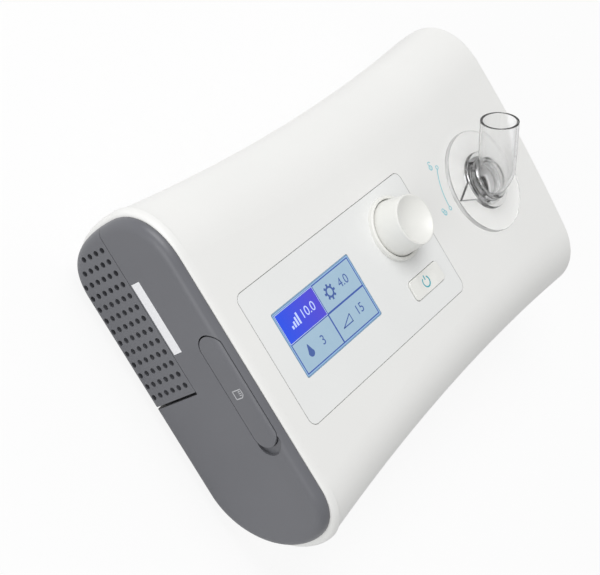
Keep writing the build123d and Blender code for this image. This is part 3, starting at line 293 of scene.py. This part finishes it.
def boreShadeCup(name, look):
    # a milky cup whose bore is painted near black: a painted shade for the deep hole under the
    # outlet
    material = emptyMaterial(name)
    place = addNode(material, "ShaderNodeTexCoord").outputs["Object"]
    outside = addNode(
        material, "ShaderNodeMath",
        {"operation": "GREATER_THAN", 1: look["boreShadeRadius"] * mm},
        {0: awayFromOutlet(material, place)})
    tone = addNode(
        material, "ShaderNodeMix",
        {"data_type": "RGBA", colourA: linearColour(look["boreShade"]),
         colourB: linearColour(look["cup"])},
        {"Factor": outside.outputs[0]})
    shader = addNode(
        material, "ShaderNodeBsdfPrincipled",
        {"Roughness": look["roughness"], "IOR": look["ior"]},
        {"Base Color": tone.outputs[mixedColour]})
    addNode(material, "ShaderNodeOutputMaterial", {}, {"Surface": shader.outputs["BSDF"]})
    return material


# the cup's bore inside the given radius is painted near black, as painted shade
outletCup = boreShadeCup("outletCupBoreShade", {
    "boreShadeRadius": 13.0, "boreShade": "#141415", "cup": "#F2F2F2", "roughness": 0.45, "ior": 1.49})

clearWall = {
    "flowDetail": 1.0, "flowStrength": 0.1, "flowHeight": 0.2, "bevelSamples": 4,
    "ior": 1.585, "grazeBlend": 0.5, "rimBand": 0.3}


def clearPlastic(name, look):
    # polished clear polycarbonate, slightly wavy, with softened edges
    material = emptyMaterial(name)
    place = addNode(material, "ShaderNodeTexCoord").outputs["Object"]
    flow = addNode(
        material, "ShaderNodeTexNoise",
        {"Scale": 1 / (look["flowSize"] * mm), "Detail": clearWall["flowDetail"]},
        {"Vector": place})
    soft = addNode(
        material, "ShaderNodeBevel",
        {"samples": clearWall["bevelSamples"], "Radius": look["edgeRadius"] * mm})
    ripple = addNode(
        material, "ShaderNodeBump",
        {"Strength": clearWall["flowStrength"], "Distance": clearWall["flowHeight"] * mm},
        {"Height": flow.outputs["Fac"], "Normal": soft.outputs["Normal"]})
    # its shadow is thin, as most of the light goes through
    ray = addNode(material, "ShaderNodeLightPath")
    solid = addNode(
        material, "ShaderNodeMath",
        {"operation": "MULTIPLY_ADD", 1: -look["passes"], 2: 1.0},
        {0: ray.outputs["Is Shadow Ray"]})
    # the colour is painted darker where a wall is seen at a graze: a painted shade that draws a
    # grey outline
    graze = addNode(
        material, "ShaderNodeLayerWeight",
        {"Blend": clearWall["grazeBlend"]}, {"Normal": soft.outputs["Normal"]})
    grazeShadeAmount = addNode(
        material, "ShaderNodeMath",
        {"operation": "POWER", 1: look["grazeShadePower"]}, {0: graze.outputs["Facing"]})
    grazeShadedTint = addNode(
        material, "ShaderNodeMix",
        {"data_type": "RGBA", colourA: linearColour(look["colour"]),
         colourB: linearColour(look["grazeShadeColour"])},
        {"Factor": grazeShadeAmount.outputs[0]})
    shader = addNode(
        material, "ShaderNodeBsdfPrincipled",
        {"Roughness": look["roughness"], "IOR": clearWall["ior"], "Transmission Weight": 1.0},
        {"Base Color": grazeShadedTint.outputs[mixedColour], "Normal": ripple.outputs["Normal"],
         "Alpha": solid.outputs[0]})
    if "groundRadius" in look:
        # the disc's rim is ground matt, up to the disc's top, so it catches the light
        clear = addNode(
            material, "ShaderNodeMapRange",
            {"From Min": (look["groundRadius"] - clearWall["rimBand"]) * mm,
             "From Max": look["groundRadius"] * mm,
             "To Min": 1.0, "To Max": look["groundClear"]},
            {"Value": awayFromOutlet(material, place)})
        height = addNode(material, "ShaderNodeSeparateXYZ", {}, {"Vector": place})
        above = addNode(
            material, "ShaderNodeMath",
            {"operation": "GREATER_THAN", 1: look["groundTop"] * mm}, {0: height.outputs["Z"]})
        clearness = addNode(
            material, "ShaderNodeMath", {"operation": "MAXIMUM"},
            {0: clear.outputs["Result"], 1: above.outputs[0]})
        material.node_tree.links.new(clearness.outputs[0], shader.inputs["Transmission Weight"])
    depth = addNode(
        material, "ShaderNodeVolumeAbsorption",
        {"Color": linearColour(look["absorb"]), "Density": look["density"]})
    addNode(
        material, "ShaderNodeOutputMaterial", {},
        {"Surface": shader.outputs["BSDF"], "Volume": depth.outputs["Volume"]})
    return material


# clear polycarbonate of the elbow: thin polished walls, hardly any colour, with a painted grey
# shade at a graze
clearElbow = clearPlastic("clearPolycarbonate", {
    "colour": "#FFFFFF", "roughness": 0.03, "flowSize": 9, "edgeRadius": 0.9,
    "absorb": "#8C9094", "density": 9, "passes": 0.92,
    "grazeShadePower": 4.0, "grazeShadeColour": "#55575C",
    "groundRadius": 30.2, "groundClear": 0.4, "groundTop": caseTop + 5.0})
# polycarbonate of the water tub: thicker, faintly blue, a little less polished, with a painted
# grey shade at a graze
clearTub = clearPlastic("tubPolycarbonate", {
    "colour": "#F4F6F8", "roughness": 0.08, "flowSize": 14, "edgeRadius": 0.5,
    "absorb": "#9EB4C4", "density": 60, "passes": 0.8,
    "grazeShadePower": 2.5, "grazeShadeColour": "#7A8288"})

machining = {
    "scratchDetail": 3.0, "smoother": 0.06, "rougher": 0.08,
    "scratchStrength": 0.12, "scratchHeight": 0.03}


def machinedMetal(name, look):
    # turned or stamped metal with a fine lay along one axis;
    # real tool marks are near 0.1 mm apart, and are drawn coarser so that they show
    material = emptyMaterial(name)
    place = addNode(material, "ShaderNodeTexCoord").outputs["Object"]
    lay = addNode(material, "ShaderNodeMapping", {"Scale": look["layScale"]}, {"Vector": place})
    scratch = addNode(
        material, "ShaderNodeTexNoise",
        {"Scale": 1 / (look["laySize"] * mm), "Detail": machining["scratchDetail"]},
        {"Vector": lay.outputs["Vector"]})
    polish = addNode(
        material, "ShaderNodeMapRange",
        {"To Min": look["roughness"] - machining["smoother"],
         "To Max": look["roughness"] + machining["rougher"]},
        {"Value": scratch.outputs["Fac"]})
    bump = addNode(
        material, "ShaderNodeBump",
        {"Strength": machining["scratchStrength"], "Distance": machining["scratchHeight"] * mm},
        {"Height": scratch.outputs["Fac"]})
    shader = addNode(
        material, "ShaderNodeBsdfPrincipled",
        {"Base Color": linearColour(look["colour"]), "Metallic": 1.0},
        {"Roughness": polish.outputs["Result"], "Normal": bump.outputs["Normal"]})
    addNode(material, "ShaderNodeOutputMaterial", {}, {"Surface": shader.outputs["BSDF"]})
    return material


# turned steel of shafts, screws, motor and the chamber's pan: bright, ringed round the upright
brightSteel = machinedMetal("turnedSteel", {
    "colour": "#B9BABC", "layScale": (1, 1, 12), "laySize": 1.2, "roughness": 0.3})
# spun aluminium of the heater plate and the display's tray: paler and softer
spunAluminium = machinedMetal("spunAluminium", {
    "colour": "#C9CBCE", "layScale": (1, 6, 1), "laySize": 1.5, "roughness": 0.38})

nodeFinish = {
    caseAbs: ["top_shell", "base_tray", "chamber_front"],
    panelAbs: ["display_panel"],
    knobAbs: ["knob", "knob_collar", "power_button"],
    capAbs: ["left_end_cap", "filter_cover", "sd_door"],
    labelPaper: ["label_strip"],
    screenBorder: ["lcd_window"],
    clearElbow: ["outlet_elbow"],
    clearTub: ["chamber_tub"],
    outletCup: ["outlet_port"],
    milkySilicone: ["elbow_seal"],
    blackNylon: [
        "chamber_lid", "sd_socket", "sd_card", "encoder_body", "switch_plunger", "power_switch",
        "dc_inlet", "filter_frame", "board_parts", "lcd_posts", "outlet_duct"],
    greyPolypropylene: [
        "volute_lower", "volute_upper", "silencer_box", "intake_duct", "jack_bracket",
        "impeller"],
    softRubber: ["rubber_feet", "blower_mounts", "duct_gasket", "chamber_seal"],
    filterFleece: ["air_filter", "silencer_foam"],
    boardEpoxy: ["main_board"],
    heatBoard: ["heater_insulator"],
    spunAluminium: ["heater_plate", "lcd_module"],
    brightSteel: [
        "case_screws", "board_screws", "sd_door_pin", "encoder_plunger", "encoder_shaft",
        "motor_shaft", "motor_bearings", "blower_motor", "chamber_pan"],
}
for finish, names in nodeFinish.items():
    for nodeName in names:
        nodes[nodeName].data.materials.clear()
        nodes[nodeName].data.materials.append(finish)
print("finishes set on", sum(len(names) for names in nodeFinish.values()), "nodes")

# flat marks are drawn on the XY plane in millimetres and then laid on their surface
drawing = {"softEdge": 0.3, "fewestSteps": 8, "mostSteps": 48, "stepTravel": 60, "weld": 1e-6}


def bar(width, depth, height, x=0, y=0, turn=0):
    # a thin raised bar with softened edges, centred at x, y
    deselectAll()
    bpy.ops.mesh.primitive_cube_add(
        size=1, location=(x * mm, y * mm, height * mm / 2),
        rotation=(0, 0, math.radians(turn)), scale=(width * mm, depth * mm, height * mm))
    placeInMesh(bpy.context.object)
    bpy.ops.object.mode_set(mode="EDIT")
    bpy.ops.mesh.select_all(action="SELECT")
    bpy.ops.mesh.bevel(offset=height * mm * drawing["softEdge"], segments=1)
    bpy.ops.object.mode_set(mode="OBJECT")
    return bpy.context.object


def arc(radius, stroke, height, start, sweep, x=0, y=0):
    # an upright rectangle spun about x, y, where spin's own positive turn is clockwise
    deselectAll()
    across = math.radians(start)
    middle = (x + radius * math.cos(across), y + radius * math.sin(across), height / 2)
    bpy.ops.mesh.primitive_plane_add(
        size=1, location=[v * mm for v in middle], rotation=(math.radians(90), 0, across))
    bpy.context.object.scale = (stroke * mm, height * mm, 1)
    placeInMesh(bpy.context.object)
    steps = max(drawing["fewestSteps"], round(abs(sweep) * radius / drawing["stepTravel"]))
    bpy.ops.object.mode_set(mode="EDIT")
    bpy.ops.mesh.select_all(action="SELECT")
    bpy.ops.mesh.spin(
        steps=min(steps, drawing["mostSteps"]), angle=-math.radians(sweep),
        center=(x * mm, y * mm, 0), axis=(0, 0, 1))
    bpy.ops.mesh.select_all(action="SELECT")
    bpy.ops.mesh.remove_doubles(threshold=drawing["weld"])
    # a full turn leaves its steps' walls inside the ring
    bpy.ops.mesh.select_all(action="DESELECT")
    bpy.ops.mesh.select_interior_faces()
    bpy.ops.mesh.delete(type="FACE")
    bpy.ops.mesh.select_all(action="SELECT")
    bpy.ops.mesh.normals_make_consistent(inside=False)
    bpy.ops.object.mode_set(mode="OBJECT")
    return bpy.context.object


def numerals(words, size, height, x=0, y=0):
    deselectAll()
    bpy.ops.object.text_add(location=(x * mm, y * mm, 0))
    piece = bpy.context.object
    piece.data.body = words
    piece.data.size = size * mm
    piece.data.extrude = height * mm / 2
    piece.data.align_x = "CENTER"
    piece.data.align_y = "CENTER"
    bpy.ops.object.convert(target="MESH")
    placeInMesh(piece)
    piece.data.transform(Matrix.Translation((0, 0, height * mm / 2)))
    return piece


def layDown(piece, spot, across=(1, 0, 0), up=(0, 1, 0)):
    # lays a flat drawing on a surface: its X runs along across, its Y along up
    right, top = Vector(across).normalized(), Vector(up).normalized()
    out = right.cross(top)
    turn = Matrix((right, top, out)).transposed().to_4x4()
    piece.data.transform(Matrix.Translation(Vector(spot) * mm) @ turn)
    piece.data.update()


# the display's picture: two rows of two cells; lifts are in plate thicknesses
display = {
    "edge": 0.35, "edgeInset": 0.4, "border": 1.7, "line": 0.65, "gridOver": 0.9,
    "plate": 0.03, "ink": 0.02, "numberSize": 7.2, "rows": 2, "columns": 2,
    "glowWidth": 0.28, "glowOver": 0.6, "glowOut": 0.1,
    "cellLift": 0.6, "glowLift": 0.8, "markLift": 1.5}
glassLow, glassHigh = boxOf("lcd_window")
glassMid = middleOf("lcd_window")
border, line, plate, ink = (display[part] for part in ("border", "line", "plate", "ink"))
pictureWidth = glassHigh[0] - glassLow[0]
pictureDepth = glassHigh[1] - glassLow[1]
cellWidth = (pictureWidth - 2 * border - line) / display["columns"]
cellDepth = (pictureDepth - 2 * border - line) / display["rows"]
cellMiddles = [
    (sx * (cellWidth + line) / 2, sy * (cellDepth + line) / 2) for sy in (1, -1) for sx in (-1, 1)]
chosenBlue = chosenCell("chosenCell", {
    "from": (glassMid[0] - cellWidth) * mm, "width": cellWidth * mm,
    "colourLeft": "#1F4CE0", "colourRight": "#4F44CC", "roughness": 0.35, "glow": 0.15})


def layOnGlass(name, pieces, material, lift):
    picture = joinPieces(name, pieces)
    layDown(picture, (glassMid[0], glassMid[1], glassHigh[2] + plate * lift))
    dress(picture, material, "case")


edge, inset = display["edge"], display["edgeInset"]
rim = [bar(pictureWidth - inset, edge, plate, 0, s * (pictureDepth / 2 - inset)) for s in (-1, 1)]
rim += [bar(edge, pictureDepth - inset, plate, s * (pictureWidth / 2 - inset), 0) for s in (-1, 1)]
layOnGlass("screenRim", rim, screenEdge, 0)
gridInset = 2 * border - display["gridOver"]
layOnGlass(
    "screenGrid", [bar(pictureWidth - gridInset, pictureDepth - gridInset, plate)], screenLine, 0)
for number, (x, y) in enumerate(cellMiddles):
    cell = bar(cellWidth - line / 2, cellDepth - line / 2, plate, x, y)
    finish = chosenBlue if number == 0 else screenCell
    layOnGlass("screenCell%d" % number, [cell], finish, display["cellLift"])

# a lit outline round the chosen cell
thin, over, out = display["glowWidth"], display["glowOver"], display["glowOut"]
x, y = cellMiddles[0]
glow = [bar(cellWidth + over, thin, plate, x, y + s * (cellDepth / 2 + out)) for s in (-1, 1)]
glow += [bar(thin, cellDepth + over, plate, x + s * (cellWidth / 2 + out), y) for s in (-1, 1)]
layOnGlass("chosenOutline", glow, screenPale, display["glowLift"])


def pictureInCell(name, pieces, look, x, y, material):
    # a pictogram with its number beside it
    words = numerals(look["number"], display["numberSize"], ink, x + look["aside"], y)
    layOnGlass(name, pieces + [words], material, display["markLift"])


# pressure: bars that grow to the right
pressure = {
    "bars": 4, "width": 1.3, "shortest": 1.8, "growth": 1.5, "pitch": 2.1,
    "left": -9, "down": -2.2, "number": "10.0", "aside": 6.0}
x, y = cellMiddles[0]
levels = [
    bar(pressure["width"], pressure["shortest"] + pressure["growth"] * i, ink,
        x + pressure["left"] + pressure["pitch"] * i,
        y + pressure["down"] + pressure["growth"] / 2 * i)
    for i in range(pressure["bars"])]
pictureInCell("pressurePicture", levels, pressure, x, y, screenPale)

# settings: a gear
gear = {
    "radius": 2.6, "stroke": 1.1, "teeth": 8, "tooth": 1.3, "toothRadius": 3.7,
    "left": -7, "number": "4.0", "aside": 5.5}
x, y = cellMiddles[1]
wheel = [arc(gear["radius"], gear["stroke"], ink, 0, 360, x + gear["left"], y)]
for i in range(gear["teeth"]):
    at = 360 / gear["teeth"] * i
    wheel.append(bar(
        gear["tooth"], gear["tooth"], ink,
        x + gear["left"] + gear["toothRadius"] * math.cos(math.radians(at)),
        y + gear["toothRadius"] * math.sin(math.radians(at)), at))
pictureInCell("gearPicture", wheel, gear, x, y, screenMark)

# humidity: a drop
water = {
    "corners": 32, "radius": 2.3, "point": 2.4, "taper": 3, "pinch": 0.45,
    "left": -7, "down": -0.8, "number": "3", "aside": 4.5}


def waterDrop(look, x, y):
    # a disc whose back corners are drawn out to a point
    radius = look["radius"] * mm
    deselectAll()
    bpy.ops.mesh.primitive_cylinder_add(
        vertices=look["corners"], radius=radius, depth=ink * mm,
        location=(x * mm, y * mm, ink * mm / 2))
    drop = bpy.context.object
    placeInMesh(drop)
    for corner in drop.data.vertices:
        reach = (corner.co.y - y * mm) / radius
        if reach > 0:
            corner.co.y += look["point"] * mm * reach ** look["taper"]
            corner.co.x = x * mm + (corner.co.x - x * mm) * (1 - look["pinch"] * reach)
    return drop


x, y = cellMiddles[2]
drop = waterDrop(water, x + water["left"], y + water["down"])
pictureInCell("dropPicture", [drop], water, x, y, screenMark)

# start-up time: a rising ramp, each side as width, depth, x, y and turn
slope = {
    "sides": [(9.0, 0.6, -7.5, -2.6, 0), (9.4, 0.6, -7.3, -0.4, 27), (0.6, 4.6, -3.2, -0.5, 0)],
    "number": "15", "aside": 5.5}
x, y = cellMiddles[3]
sides = [
    bar(width, depth, ink, x + dx, y + dy, turn)
    for width, depth, dx, dy, turn in slope["sides"]]
pictureInCell("rampPicture", sides, slope, x, y, screenMark)
print("display picture laid")

# lock and unlock marks beside the outlet: an arc between two rings, each with its padlock
lockMarks = {
    "radius": 36.8, "stroke": 0.5, "ink": 0.05, "open": 141.8, "shut": 180.0,
    "ringRadius": 1.1, "ringStroke": 0.42, "padlockRadius": 43.1, "padlockShift": 1.2,
    "lean": 24, "bodyRadius": 1.3, "bodyStroke": 0.55, "bodyDown": -1.25, "keyhole": 0.6,
    "shackleRadius": 1.0, "shackleStroke": 0.42, "shackleUp": 0.75, "swing": 1.4,
    "footLength": 0.8, "footUp": 0.4, "freeFootUp": 0.6}


def onCircle(radius, degreesRound):
    at = math.radians(degreesRound)
    return radius * math.cos(at), radius * math.sin(at)


def padlock(look, ajar):
    # a ring for the body and a half ring for the shackle, swung aside where it is open
    height, thin, reach = look["ink"], look["shackleStroke"], look["shackleRadius"]
    aside = look["swing"] if ajar else 0
    parts = [
        arc(look["bodyRadius"], look["bodyStroke"], height, 0, 360, 0, look["bodyDown"]),
        bar(look["keyhole"], look["keyhole"], height, 0, look["bodyDown"]),
        arc(reach, thin, height, 0, 180, aside, look["shackleUp"])]
    for side in (-1, 1):
        up = look["freeFootUp"] if ajar and side > 0 else look["footUp"]
        parts.append(bar(thin, look["footLength"], height, side * reach + aside, up))
    return joinPieces("padlock", parts)


ringGap = math.degrees(lockMarks["ringRadius"] / lockMarks["radius"])
marks = [arc(
    lockMarks["radius"], lockMarks["stroke"], lockMarks["ink"], lockMarks["open"] + ringGap,
    lockMarks["shut"] - lockMarks["open"] - 2 * ringGap)]
for at, ajar in ((lockMarks["open"], True), (lockMarks["shut"], False)):
    x, y = onCircle(lockMarks["radius"], at)
    ring = arc(lockMarks["ringRadius"], lockMarks["ringStroke"], lockMarks["ink"], 0, 360, x, y)
    shift = lockMarks["padlockShift"] * (1 if ajar else -1)
    x, y = onCircle(lockMarks["padlockRadius"], at + shift)
    icon = padlock(lockMarks, ajar)
    lean = Matrix.Rotation(math.radians(lockMarks["lean"]), 4, "Z")
    icon.data.transform(Matrix.Translation((x * mm, y * mm, 0)) @ lean)
    marks += [ring, icon]
lockPrint = joinPieces("lockMarks", marks)
layDown(lockPrint, (outletMid[0], outletMid[1], caseTop))
dress(lockPrint, paleTealInk, "case")
print("lock marks laid")

# power mark on the key, which follows the key's dished top
powerMark = {
    "radius": 3.0, "stroke": 0.78, "ink": 0.06, "opening": 75, "stem": 2.7, "stemDrop": 0.6,
    "aside": -0.75, "sunk": 0.01, "dishRadius": 60.0, "dish": 0.5}
keyTop = boxOf("power_button")[1][2]
keyMid = middleOf("power_button")
ring = arc(
    powerMark["radius"], powerMark["stroke"], powerMark["ink"],
    90 + powerMark["opening"] / 2, 360 - powerMark["opening"])
stem = bar(
    powerMark["stroke"], powerMark["stem"], powerMark["ink"],
    0, powerMark["radius"] - powerMark["stemDrop"])
powerPrint = joinPieces("powerMark", [ring, stem])
for corner in powerPrint.data.vertices:
    away = math.hypot(corner.co.x, corner.co.y) / mm
    corner.co.z += (away ** 2 / (2 * powerMark["dishRadius"]) - powerMark["dish"]) * mm
layDown(powerPrint, (keyMid[0] + powerMark["aside"], keyMid[1], keyTop - powerMark["sunk"]))
dress(powerPrint, tealInk, "power_button")

# card pictogram on the door: an outline with one clipped corner and a row of contacts
cardMark = {
    "width": 4.4, "depth": 5.6, "stroke": 0.5, "ink": 0.05, "clip": 1.4, "clipBar": 1.5,
    "contacts": 3, "contactWidth": 0.45, "contactLength": 1.5, "contactLeft": -1.2,
    "contactPitch": 1.0, "contactDown": 1.6, "aside": -1.0}
half, tall = cardMark["width"] / 2, cardMark["depth"] / 2
thin, film, clip = cardMark["stroke"], cardMark["ink"], cardMark["clip"]
outline = [
    bar(thin, cardMark["depth"] + thin, film, -half, 0),
    bar(cardMark["width"], thin, film, 0, -tall),
    bar(cardMark["width"] - clip, thin, film, -clip / 2, tall),
    bar(thin, cardMark["depth"] - clip, film, half, -clip / 2),
    bar(clip * cardMark["clipBar"], thin, film, half - clip / 2, tall - clip / 2, -45)]
for i in range(cardMark["contacts"]):
    outline.append(bar(
        cardMark["contactWidth"], cardMark["contactLength"], film,
        cardMark["contactLeft"] + cardMark["contactPitch"] * i, tall - cardMark["contactDown"]))
doorFace = boxOf("sd_door")[0][0]
doorMid = middleOf("sd_door")
cardPrint = joinPieces("cardMark", outline)
layDown(
    cardPrint, (doorFace, doorMid[1] + cardMark["aside"], doorMid[2]), (0, -1, 0), (0, 0, 1))
dress(cardPrint, paleInk, "card_door")
print("power mark and card pictogram laid")

# floor, light and camera
studio = {
    "floorSize": 8.0, "floorColour": "#F4F4F4", "floorGlow": 0.88, "world": 0.5,
    "aim": (0, 0, 0.05),
    "keyLamp": {"spot": (-0.2, 1.1, 1.7), "size": 1.4, "power": 20.0},
    "fillLamp": {"spot": (-1.8, 0.15, 0.75), "size": 1.2, "power": 8.0}}
view = {
    "spot": (-0.690669, 0.134235, 0.672146), "turn": (22.36077, -41.36534, -42.88544),
    "lens": 103.4655, "sensor": 36, "near": 0.05, "far": 20}

# a straight look sees a white floor with a thin shadow, and bounced light a matt one
deselectAll()
bpy.ops.mesh.primitive_plane_add(size=studio["floorSize"], location=(0, 0, 0))
floor = bpy.context.object
floor.name = "studioFloor"
floorPaint = emptyMaterial("paleFloor")
seen = addNode(floorPaint, "ShaderNodeLightPath")
matt = addNode(
    floorPaint, "ShaderNodeBsdfDiffuse", {"Color": linearColour(studio["floorColour"])})
lit = addNode(floorPaint, "ShaderNodeEmission", {"Strength": 1.0})
glowing = addNode(
    floorPaint, "ShaderNodeMixShader",
    {0: studio["floorGlow"]}, {1: matt.outputs[0], 2: lit.outputs[0]})
straight = addNode(
    floorPaint, "ShaderNodeMath", {"operation": "MAXIMUM"},
    {0: seen.outputs["Is Camera Ray"], 1: seen.outputs["Is Transmission Ray"]})
choice = addNode(
    floorPaint, "ShaderNodeMixShader", {},
    {0: straight.outputs[0], 1: matt.outputs[0], 2: glowing.outputs[0]})
addNode(floorPaint, "ShaderNodeOutputMaterial", {}, {"Surface": choice.outputs[0]})
floor.data.materials.append(floorPaint)

world = bpy.data.worlds.new("softStudio")
bpy.context.scene.world = world
world.use_nodes = True
sky = world.node_tree.nodes["Background"]
sky.inputs["Color"].default_value = (1, 1, 1, 1)
sky.inputs["Strength"].default_value = studio["world"]


def softLamp(name):
    look = studio[name]
    deselectAll()
    bpy.ops.object.light_add(type="AREA", location=look["spot"])
    lamp = bpy.context.object
    lamp.name = name
    lamp.data.shape = "DISK"
    lamp.data.size = look["size"]
    lamp.data.energy = look["power"]
    aim = Vector(studio["aim"]) - Vector(look["spot"])
    lamp.rotation_euler = aim.to_track_quat("-Z", "Y").to_euler()


softLamp("keyLamp")
softLamp("fillLamp")

bpy.ops.object.camera_add(
    location=view["spot"], rotation=[math.radians(turn) for turn in view["turn"]])
camera = bpy.context.object
camera.name = "studioCamera"
camera.data.sensor_width = view["sensor"]
camera.data.lens = view["lens"]
camera.data.clip_start = view["near"]
camera.data.clip_end = view["far"]
bpy.context.scene.camera = camera
bpy.context.scene.view_settings.view_transform = "Standard"
print("studio ready")
